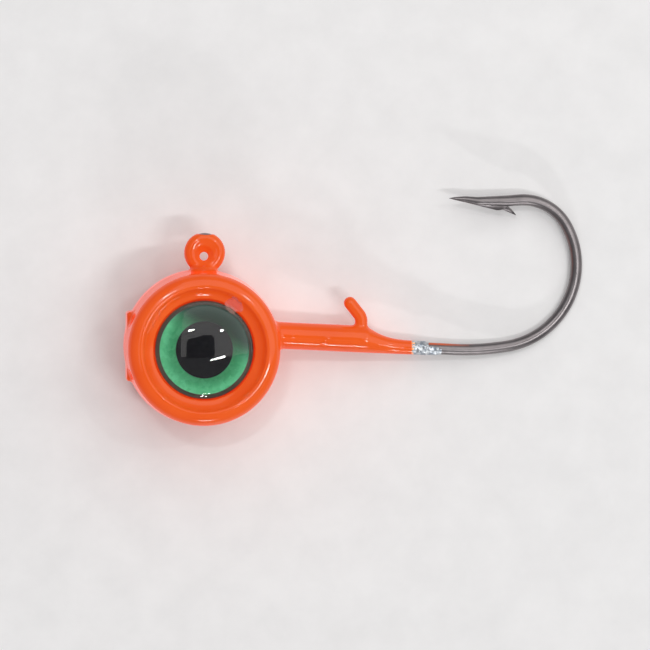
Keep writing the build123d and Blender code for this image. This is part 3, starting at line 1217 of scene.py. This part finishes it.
# %% [markdown]
# **The table.** The jig lies on the dome of its right eye and on the underside of the hook's bend,
# so the table is the plane that touches both. In this frame it leans a little.

# %% Table

table_white, tree, shader, place = new_material("white_laminate")
_, table_tone = mottle(tree, place, 4.0, 6.0, 0.6, (0.3, "#EAE9E9"), (0.7, "#F0EFEF"))
fill(tree, shader, {"Roughness": 0.42}, {"Base Color": table_tone})

TABLE_RADIUS = 0.26
BEND_REST_Y = -0.96 * MM  # where along Y the underside of the bend comes to rest
FIRST_LEAN = Vector((-0.134, 0.065, 1))
dome_base, dome_top = heights("right_eye_lens")
dome_radius = cap_radius(eye_radius, dome_top - dome_base - DOME_EDGE)
dome_middle = head_axis + Vector((0, 0, dome_radius - dome_top))
bend_middle = Vector((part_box("hook")[1][0] - WIRE_RADIUS, BEND_REST_Y, 0))
table_up = FIRST_LEAN.normalized()
for _ in range(20):
    # lean until the plane under the dome also touches the wire at the bend
    gap = (bend_middle - dome_middle).dot(table_up) + dome_radius - WIRE_RADIUS
    lean = gap / (bend_middle.x - dome_middle.x)
    table_up = (table_up - Vector((lean, 0, 0))).normalized()
table_foot = dome_middle - table_up * dome_radius
print("table's up", [round(c, 4) for c in table_up], "gap at the bend, mm", round(gap / MM, 4))

work = bmesh.new()
bmesh.ops.create_circle(work, cap_ends=True, segments=96, radius=TABLE_RADIUS)
table_turn = table_up.to_track_quat("Z", "Y").to_matrix().to_4x4()
table_place = Matrix.Translation(table_foot) @ table_turn
bmesh.ops.transform(work, verts=work.verts, matrix=table_place)
table = add_object("table", work)
shade(table, table_white)

# %% [markdown]
# **Light.** The room has one big soft ceiling panel, up and to the right. A bright tube low on the
# lower right and a window low at the bottom draw the fine lines on the glossy rim and collar, and
# two small lamps draw the dome's glints. Each light is hidden from the camera. A light's brightness
# is given as radiance, which is what a glossy surface shows of it.

# %% Lights


def panel_light(name, corner, far_corner, distance, radiance, tint, lean=0.0):
    """A soft rectangle over the head. Corners are slopes: sideways distance over height."""
    low, high = Vector(corner), Vector(far_corner)
    light = bpy.data.lights.new(name, "AREA")
    light.shape = "RECTANGLE"
    light.size, light.size_y = (high - low) * distance
    light.energy = radiance * math.pi * light.size * light.size_y
    light.color = linear(tint)[:3]
    lamp = put_in_scene(name, light)
    lamp.location = head_axis + Vector((*(low + high) / 2, 1)) * distance
    lamp.rotation_euler = (0, 0, math.radians(lean))
    lamp.visible_camera = False


panel_light("ceiling", (-0.42, -0.20), (1.90, 1.70), 1.0, 1.08, "#FFFDFA")
panel_light("tube_low", (0.18, -0.245), (0.51, -0.203), 0.9, 52.0, "#FFFFFF", 9.0)
panel_light("window_low", (0.0, -2.12), (0.42, -1.92), 0.6, 60.0, "#FFFFFF")
panel_light("lamp_left", (-0.27, 0.325), (-0.148, 0.363), 0.9, 60.0, "#FFFFFF", 8.0)
panel_light("lamp_right", (0.40, 0.330), (0.475, 0.372), 0.9, 60.0, "#FFFFFF")

# %% [markdown]
# Whoever looks straight down on a glossy thing sees their own dark shape in it. A black card stands
# for that: only reflections see it, so it casts no shadow and lights nothing.

# %% Black card

CARD_HEIGHT = 0.30
# corners as slopes: sideways distance over height
card_outline = (
    (-0.30, -0.22),
    (0.24, -0.20),
    (0.26, -0.14),
    (0.255, 0.19),
    (0.19, 0.245),
    (0.08, 0.245),
    (-0.26, 0.16),
    (-0.30, 0.08),
)
card_black, tree, shader, place = new_material("card_black")
card_look = {"Base Color": linear("#101012"), "Roughness": 0.9, "Specular IOR Level": 0.0}
fill(tree, shader, card_look, {})
work = bmesh.new()
corners = [head_axis + Vector((x, y, 1)) * CARD_HEIGHT for x, y in card_outline]
work.faces.new([work.verts.new(corner) for corner in corners])
card = add_object("card", work)
shade(card, card_black)
for ray in ("camera", "diffuse", "shadow", "transmission"):
    setattr(card, "visible_" + ray, False)

# %% The room

world = bpy.data.worlds.new("room")
world.use_nodes = True
room = world.node_tree
fill(room, room.nodes["Background"], {"Color": linear("#F4F6FA"), "Strength": 0.28}, {})
bpy.context.scene.world = world

# %% [markdown]
# **Camera.** It looks almost straight down the left face's normal, from 90 cm with a long lens, so
# the view is nearly without perspective.

# %% Camera

CAMERA_DISTANCE = 0.90
VIEW_WIDTH = 66.2 * MM
aim = Vector((12.40, -7.03, 0)) * MM
towards_camera = Vector((-0.088, 0.066, 0.994)).normalized()
CAMERA_ROLL = math.radians(0.25)
level_right = Vector((0, 1, 0)).cross(towards_camera).normalized()
level_up = towards_camera.cross(level_right)
camera_right = level_right * math.cos(CAMERA_ROLL) + level_up * math.sin(CAMERA_ROLL)
camera_up = towards_camera.cross(camera_right)

camera_data = bpy.data.cameras.new("camera")
camera_data.sensor_width = 36.0
camera_data.lens = camera_data.sensor_width * CAMERA_DISTANCE / VIEW_WIDTH
camera_data.clip_start, camera_data.clip_end = 0.01, 10.0
camera = put_in_scene("camera", camera_data)
camera_axes = Matrix((camera_right, camera_up, towards_camera)).transposed().to_4x4()
camera.matrix_world = Matrix.Translation(aim + towards_camera * CAMERA_DISTANCE) @ camera_axes
bpy.context.scene.camera = camera
bpy.context.scene.view_settings.view_transform = "Standard"
bpy.context.scene.view_settings.look = "None"
print("lens", round(camera_data.lens, 1), "mm")
